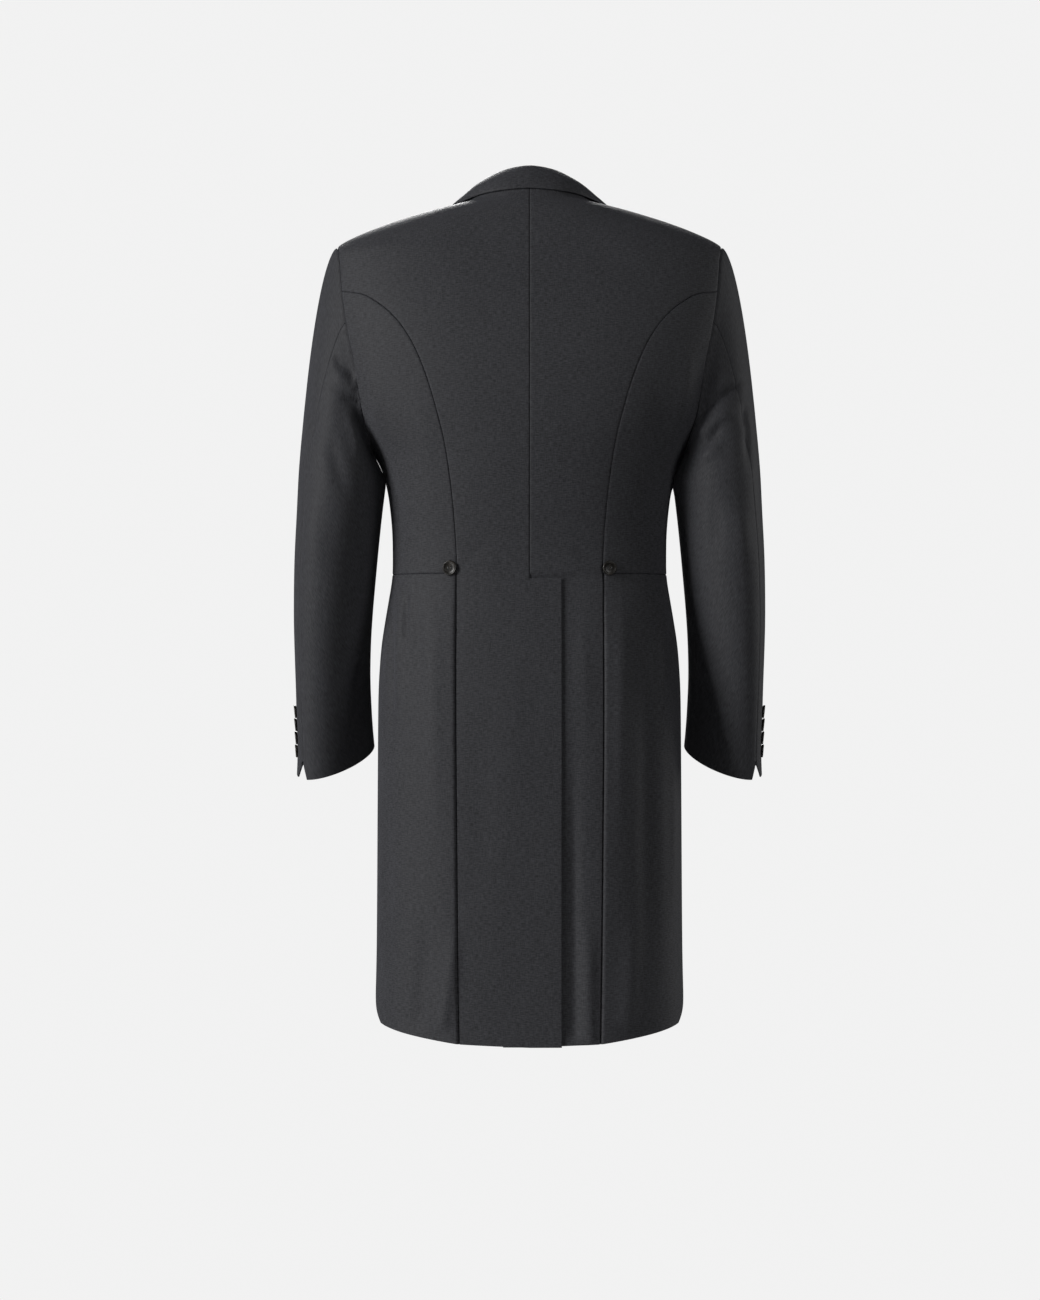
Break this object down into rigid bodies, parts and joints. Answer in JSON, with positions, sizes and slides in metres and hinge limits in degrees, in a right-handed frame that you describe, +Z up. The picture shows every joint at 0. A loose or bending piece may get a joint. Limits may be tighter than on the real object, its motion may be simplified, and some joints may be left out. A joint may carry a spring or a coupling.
{
  "type": "morning coat",
  "caption": "Charcoal worsted morning coat, hollow as worn, with cutaway skirts, a centre vent, peak lapels and dark horn buttons.",
  "frame": {"origin": "middle of the neck, level with the points where the shoulder seams meet the collar, where the wearer holds it up", "axes": "+Z up, -Y towards the front of the coat, +X towards the wearer's left"},
  "size_m": [0.5498, 0.2631, 1.0009],
  "materials": {
    "suiting": "matte",
    "horn_button": "satin",
    "thread": "matte"
  },
  "bodies": {
    "root": {"back_left": "suiting", "back_right": "suiting", "side_body_left": "suiting", "side_body_right": "suiting", "forepart_left": "suiting", "forepart_right": "suiting", "skirt_left": "suiting", "skirt_right": "suiting", "collar": "suiting", "lapel_left": "suiting", "lapel_right": "suiting", "top_sleeve_left": "suiting", "top_sleeve_right": "suiting", "under_sleeve_left": "suiting", "under_sleeve_right": "suiting", "waist_button_left": "horn_button", "waist_button_right": "horn_button", "front_button": "horn_button", "cuff_button_left_1": "horn_button", "cuff_button_left_2": "horn_button", "cuff_button_left_3": "horn_button", "cuff_button_left_4": "horn_button", "cuff_button_right_1": "horn_button", "cuff_button_right_2": "horn_button", "cuff_button_right_3": "horn_button", "cuff_button_right_4": "horn_button"}
  },
  "joints": []
}
